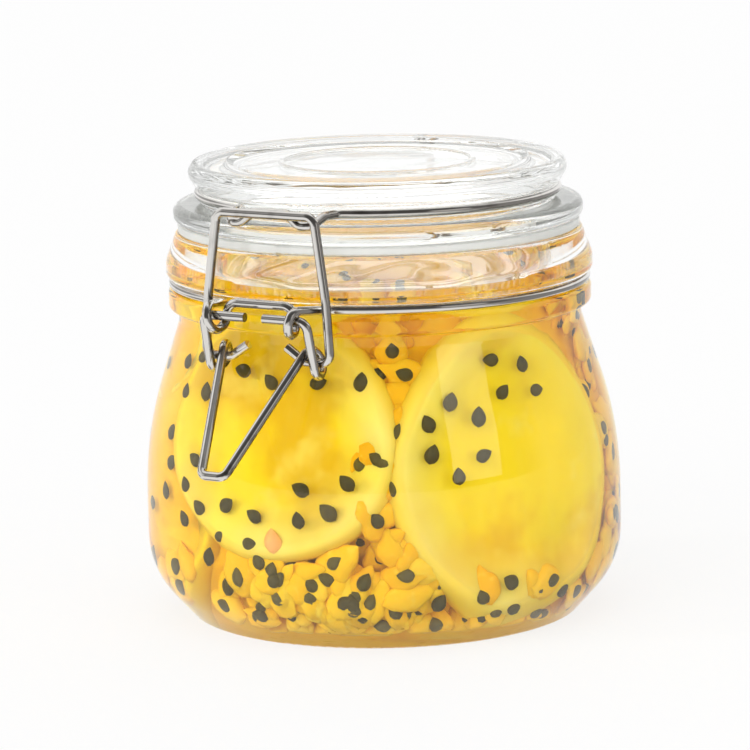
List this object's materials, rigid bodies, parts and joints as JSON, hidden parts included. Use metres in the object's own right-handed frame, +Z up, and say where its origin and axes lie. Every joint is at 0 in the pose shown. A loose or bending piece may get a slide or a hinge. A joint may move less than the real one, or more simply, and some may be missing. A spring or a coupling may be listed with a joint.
{
  "type": "clip-top preserving jar",
  "caption": "Squat glass storage jar of fruit preserved in syrup, with a hinged glass lid, a clear seal and a wire clip.",
  "frame": {"origin": "centre of the foot's underside, on the jar's axis, where the foot's ring meets the table", "axes": "+Z up along the jar's axis; the clip's lever is at the front, towards -Y, and the lid's hinge at the back, towards +Y; +X is to the right as the clip is faced"},
  "size_m": [0.11, 0.1348, 0.105],
  "materials": {
    "clear_glass": "clear colourless glass, smooth, with a faint grey-green tint in its thick edges",
    "clear_seal": "whitish translucent seal ring, satin",
    "syrup": "golden yellow fruit syrup, seen through the glass",
    "steel_wire": "bright drawn steel wire"
  },
  "bodies": {
    "jar": {"jar_glass": "clear_glass", "neck_wire": "steel_wire", "syrup_filling": "syrup"},
    "lid": {"lid_glass": "clear_glass", "lid_wire": "steel_wire", "seal_ring": "clear_seal"},
    "lever": {"lever_wire": "steel_wire"},
    "bail": {"bail_wire": "steel_wire"}
  },
  "joints": [
    {"name": "lid_hinge", "type": "hinge", "parent": "jar", "child": "lid", "pos_m": [0, 0.0555, 0.0789], "axis": [-1, 0, 0], "range_deg": [0, 110]},
    {"name": "lever_swing", "type": "hinge", "parent": "jar", "child": "lever", "pos_m": [0, -0.0555, 0.0761], "axis": [-1, 0, 0], "range_deg": [0, 75]},
    {"name": "bail_swing", "type": "hinge", "parent": "lever", "child": "bail", "pos_m": [0, -0.05012, 0.0661], "axis": [-1, 0, 0], "range_deg": [-112.5, 0]}
  ],
  "couplings": [
    {"joint": "bail_swing", "follows": "lever_swing", "ratio": -1.5}
  ]
}
